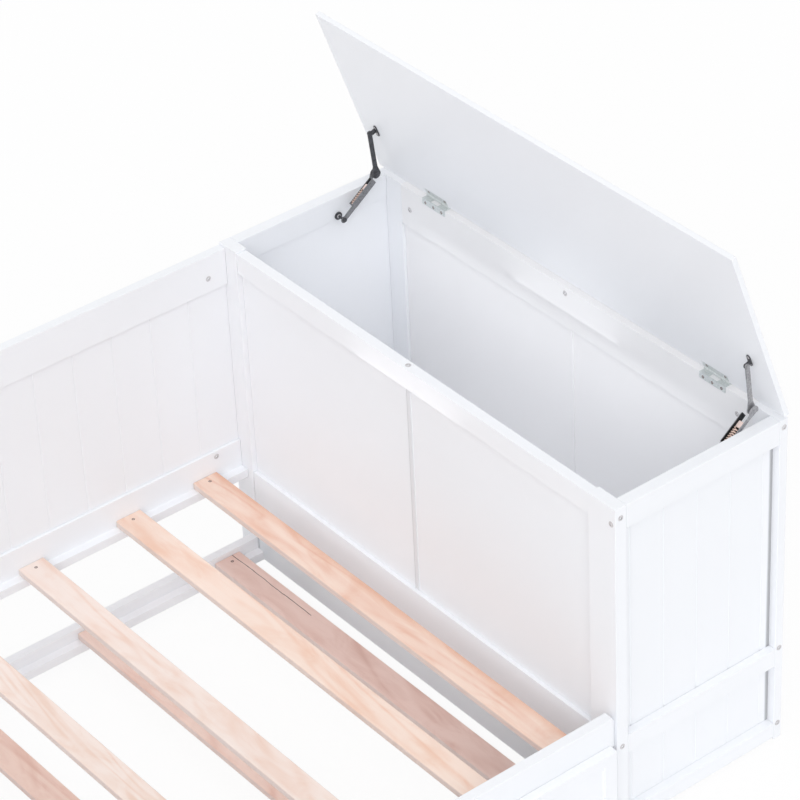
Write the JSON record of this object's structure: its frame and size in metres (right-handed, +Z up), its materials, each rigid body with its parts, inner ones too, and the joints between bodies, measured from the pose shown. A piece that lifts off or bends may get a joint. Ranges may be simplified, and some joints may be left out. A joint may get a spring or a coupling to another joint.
{
  "type": "daybed with trundle",
  "caption": "Slatted daybed with a lidded storage box across one end, a grooved board back and a rolling trundle under the slats.",
  "frame": {"origin": "middle of the footprint, on the floor, with the lid open and the trundle pushed in", "axes": "+X towards the storage box, +Y towards the bed's back, +Z up"},
  "size_m": [2.341, 1.1024, 1.0725],
  "materials": {
    "white_paint": "satin white paint on board",
    "inner_paint": "matt white paint inside the box",
    "birch": "bare planed birch plywood",
    "dark_birch": "bare planed wood, darker",
    "zinc": "zinc-plated steel",
    "dark_steel": "black-grey coated steel",
    "copper_wire": "copper-coloured spring wire",
    "wheel_plastic": "dark moulded plastic"
  },
  "bodies": {
    "frame": {"post_bed_front": "white_paint", "post_bed_back": "white_paint", "post_far_front": "white_paint", "post_far_back": "white_paint", "bed_side_top_rail": "white_paint", "bed_side_low_rail": "white_paint", "bed_side_panel": "white_paint", "front_end_top_rail": "white_paint", "front_end_bottom_rail": "white_paint", "front_end_mid_rail": "white_paint", "front_end_panel": "white_paint", "back_end_top_rail": "white_paint", "back_end_bottom_rail": "white_paint", "back_end_mid_rail": "white_paint", "back_end_panel": "white_paint", "bed_back_top_rail": "white_paint", "bed_back_low_rail": "white_paint", "bed_back_panel": "white_paint", "bed_front_rail": "white_paint", "foot_end": "white_paint", "far_top_rail": "inner_paint", "far_low_rail": "inner_paint", "far_side_panel": "inner_paint", "box_floor": "inner_paint", "bed_slat_1": "birch", "bed_slat_2": "birch", "bed_slat_3": "birch", "bed_slat_4": "birch", "bed_slat_5": "birch", "bed_slat_6": "birch", "bed_slat_7": "birch", "bed_slat_8": "birch", "bed_slat_9": "birch", "hinge_front_rail_leaf": "zinc", "hinge_back_rail_leaf": "zinc", "stay_front_wall_bracket": "dark_steel", "stay_back_wall_bracket": "dark_steel"},
    "lid": {"lid": "white_paint", "hinge_front_lid_leaf": "zinc", "hinge_back_lid_leaf": "zinc", "stay_front_lid_bracket": "dark_steel", "stay_back_lid_bracket": "dark_steel"},
    "trundle": {"trundle_fascia": "white_paint", "trundle_frame": "white_paint", "trundle_slat_1": "dark_birch", "trundle_slat_2": "dark_birch", "trundle_slat_3": "dark_birch", "trundle_slat_4": "dark_birch", "trundle_slat_5": "dark_birch", "trundle_slat_6": "dark_birch"},
    "stay_front_channel": {"stay_front_channel": "dark_steel", "stay_front_spring": "copper_wire"},
    "stay_front_arm": {"stay_front_arm": "dark_steel"},
    "stay_back_channel": {"stay_back_channel": "dark_steel", "stay_back_spring": "copper_wire"},
    "stay_back_arm": {"stay_back_arm": "dark_steel"},
    "wheel_box_front": {"wheel_box_front": "wheel_plastic"},
    "wheel_box_back": {"wheel_box_back": "wheel_plastic"},
    "wheel_foot_front": {"wheel_foot_front": "wheel_plastic"},
    "wheel_foot_back": {"wheel_foot_back": "wheel_plastic"}
  },
  "joints": [
    {"name": "lid_hinge", "type": "hinge", "parent": "frame", "child": "lid", "pos_m": [1.1646, 0.00715, 0.6978], "axis": [0, -1, 0], "range_deg": [0, 71]},
    {"name": "stay_front_wall_pivot", "type": "hinge", "parent": "frame", "child": "stay_front_channel", "pos_m": [1.0365, -0.49585, 0.654], "axis": [0, -1, 0], "range_deg": [-19.6, 0]},
    {"name": "stay_front_elbow", "type": "hinge", "parent": "stay_front_channel", "child": "stay_front_arm", "pos_m": [1.1205, -0.49585, 0.715], "axis": [0, -1, 0], "range_deg": [0, 104.2]},
    {"name": "stay_back_wall_pivot", "type": "hinge", "parent": "frame", "child": "stay_back_channel", "pos_m": [1.0365, 0.51015, 0.654], "axis": [0, -1, 0], "range_deg": [-19.6, 0]},
    {"name": "stay_back_elbow", "type": "hinge", "parent": "stay_back_channel", "child": "stay_back_arm", "pos_m": [1.1205, 0.51015, 0.715], "axis": [0, -1, 0], "range_deg": [0, 104.2]},
    {"name": "trundle_slide", "type": "slide", "parent": "frame", "child": "trundle", "axis": [0, -1, 0], "range_m": [0, 0.95]},
    {"name": "wheel_box_front_spin", "type": "hinge", "parent": "trundle", "child": "wheel_box_front", "pos_m": [0.6965, -0.41485, 0.02], "axis": [1, 0, 0], "continuous": true},
    {"name": "wheel_box_back_spin", "type": "hinge", "parent": "trundle", "child": "wheel_box_back", "pos_m": [0.6965, 0.35715, 0.02], "axis": [1, 0, 0], "continuous": true},
    {"name": "wheel_foot_front_spin", "type": "hinge", "parent": "trundle", "child": "wheel_foot_front", "pos_m": [-0.8635, -0.41485, 0.02], "axis": [1, 0, 0], "continuous": true},
    {"name": "wheel_foot_back_spin", "type": "hinge", "parent": "trundle", "child": "wheel_foot_back", "pos_m": [-0.8635, 0.35715, 0.02], "axis": [1, 0, 0], "continuous": true}
  ],
  "couplings": [
    {"joint": "stay_front_wall_pivot", "follows": "lid_hinge", "ratio": -0.27496},
    {"joint": "stay_front_elbow", "follows": "lid_hinge", "ratio": 1.4658},
    {"joint": "stay_back_wall_pivot", "follows": "lid_hinge", "ratio": -0.27496},
    {"joint": "stay_back_elbow", "follows": "lid_hinge", "ratio": 1.4658}
  ]
}
